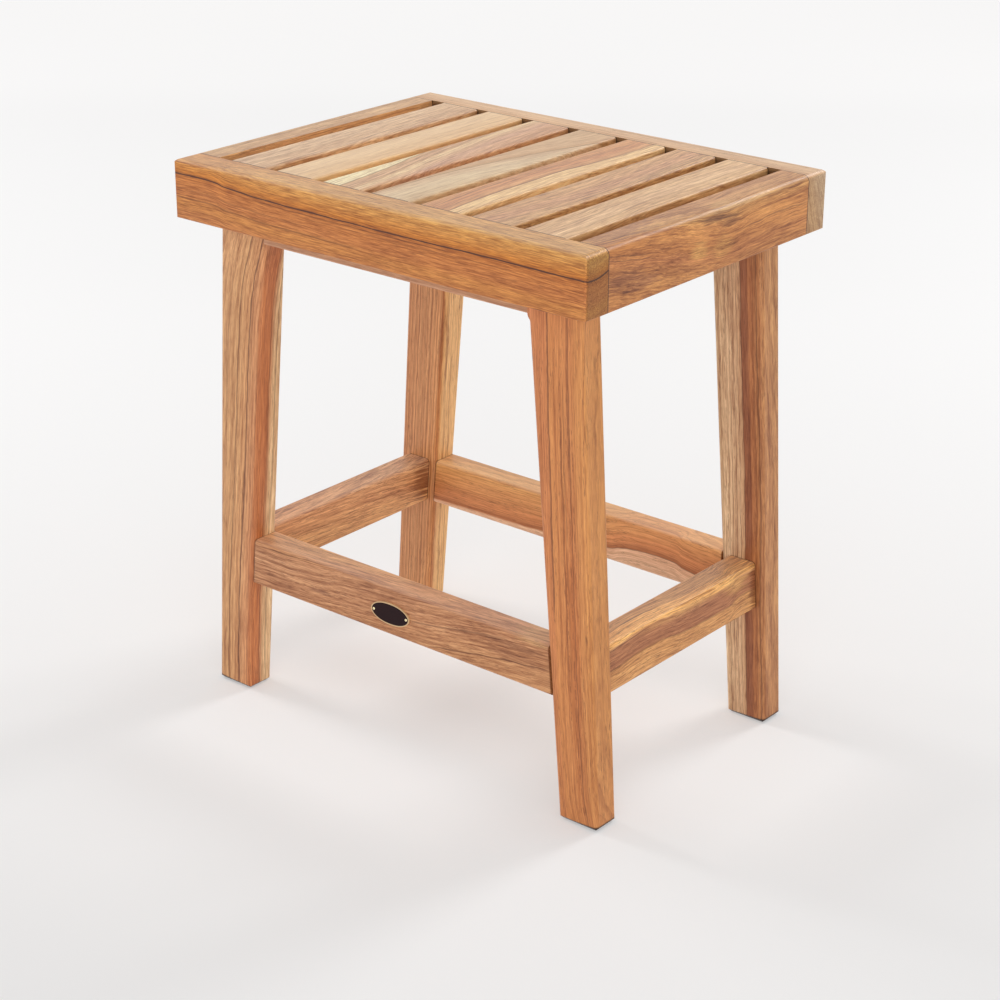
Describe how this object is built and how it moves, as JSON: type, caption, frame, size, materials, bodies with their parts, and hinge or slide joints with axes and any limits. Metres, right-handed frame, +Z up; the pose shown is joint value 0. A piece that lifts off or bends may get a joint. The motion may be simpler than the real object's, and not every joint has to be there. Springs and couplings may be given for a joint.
{
  "type": "shower bench",
  "caption": "Slatted teak shower bench: a framed seat with drain gaps on tapered, splayed legs that low stretchers join.",
  "frame": {"origin": "on the floor, under the middle of the seat", "axes": "+X along the seat, +Y from the front, where the plate is, to the back, +Z up"},
  "size_m": [0.4016, 0.3, 0.455],
  "materials": {
    "teak_rails": "oiled, satin",
    "teak_slats": "oiled, satin",
    "teak_legs": "oiled, satin",
    "teak_aprons": "oiled, satin",
    "teak_stretchers": "oiled, satin",
    "dowel_wood": "raw",
    "stainless_screws": "brushed",
    "plate": "satin, with a thin gold rim",
    "pins": "polished"
  },
  "bodies": {
    "root": {"rail_front": "teak_rails", "rail_back": "teak_rails", "rail_left": "teak_rails", "rail_right": "teak_rails", "slat_1": "teak_slats", "slat_2": "teak_slats", "slat_3": "teak_slats", "slat_4": "teak_slats", "slat_5": "teak_slats", "slat_6": "teak_slats", "slat_7": "teak_slats", "leg_front_left": "teak_legs", "leg_front_right": "teak_legs", "leg_back_left": "teak_legs", "leg_back_right": "teak_legs", "apron_front": "teak_aprons", "apron_back": "teak_aprons", "stretcher_front": "teak_stretchers", "stretcher_back": "teak_stretchers", "stretcher_left": "teak_stretchers", "stretcher_right": "teak_stretchers", "corner_dowels": "dowel_wood", "slat_dowels": "dowel_wood", "leg_screws": "stainless_screws", "apron_screws": "stainless_screws", "name_plate": "plate", "plate_pins": "pins"}
  },
  "joints": []
}
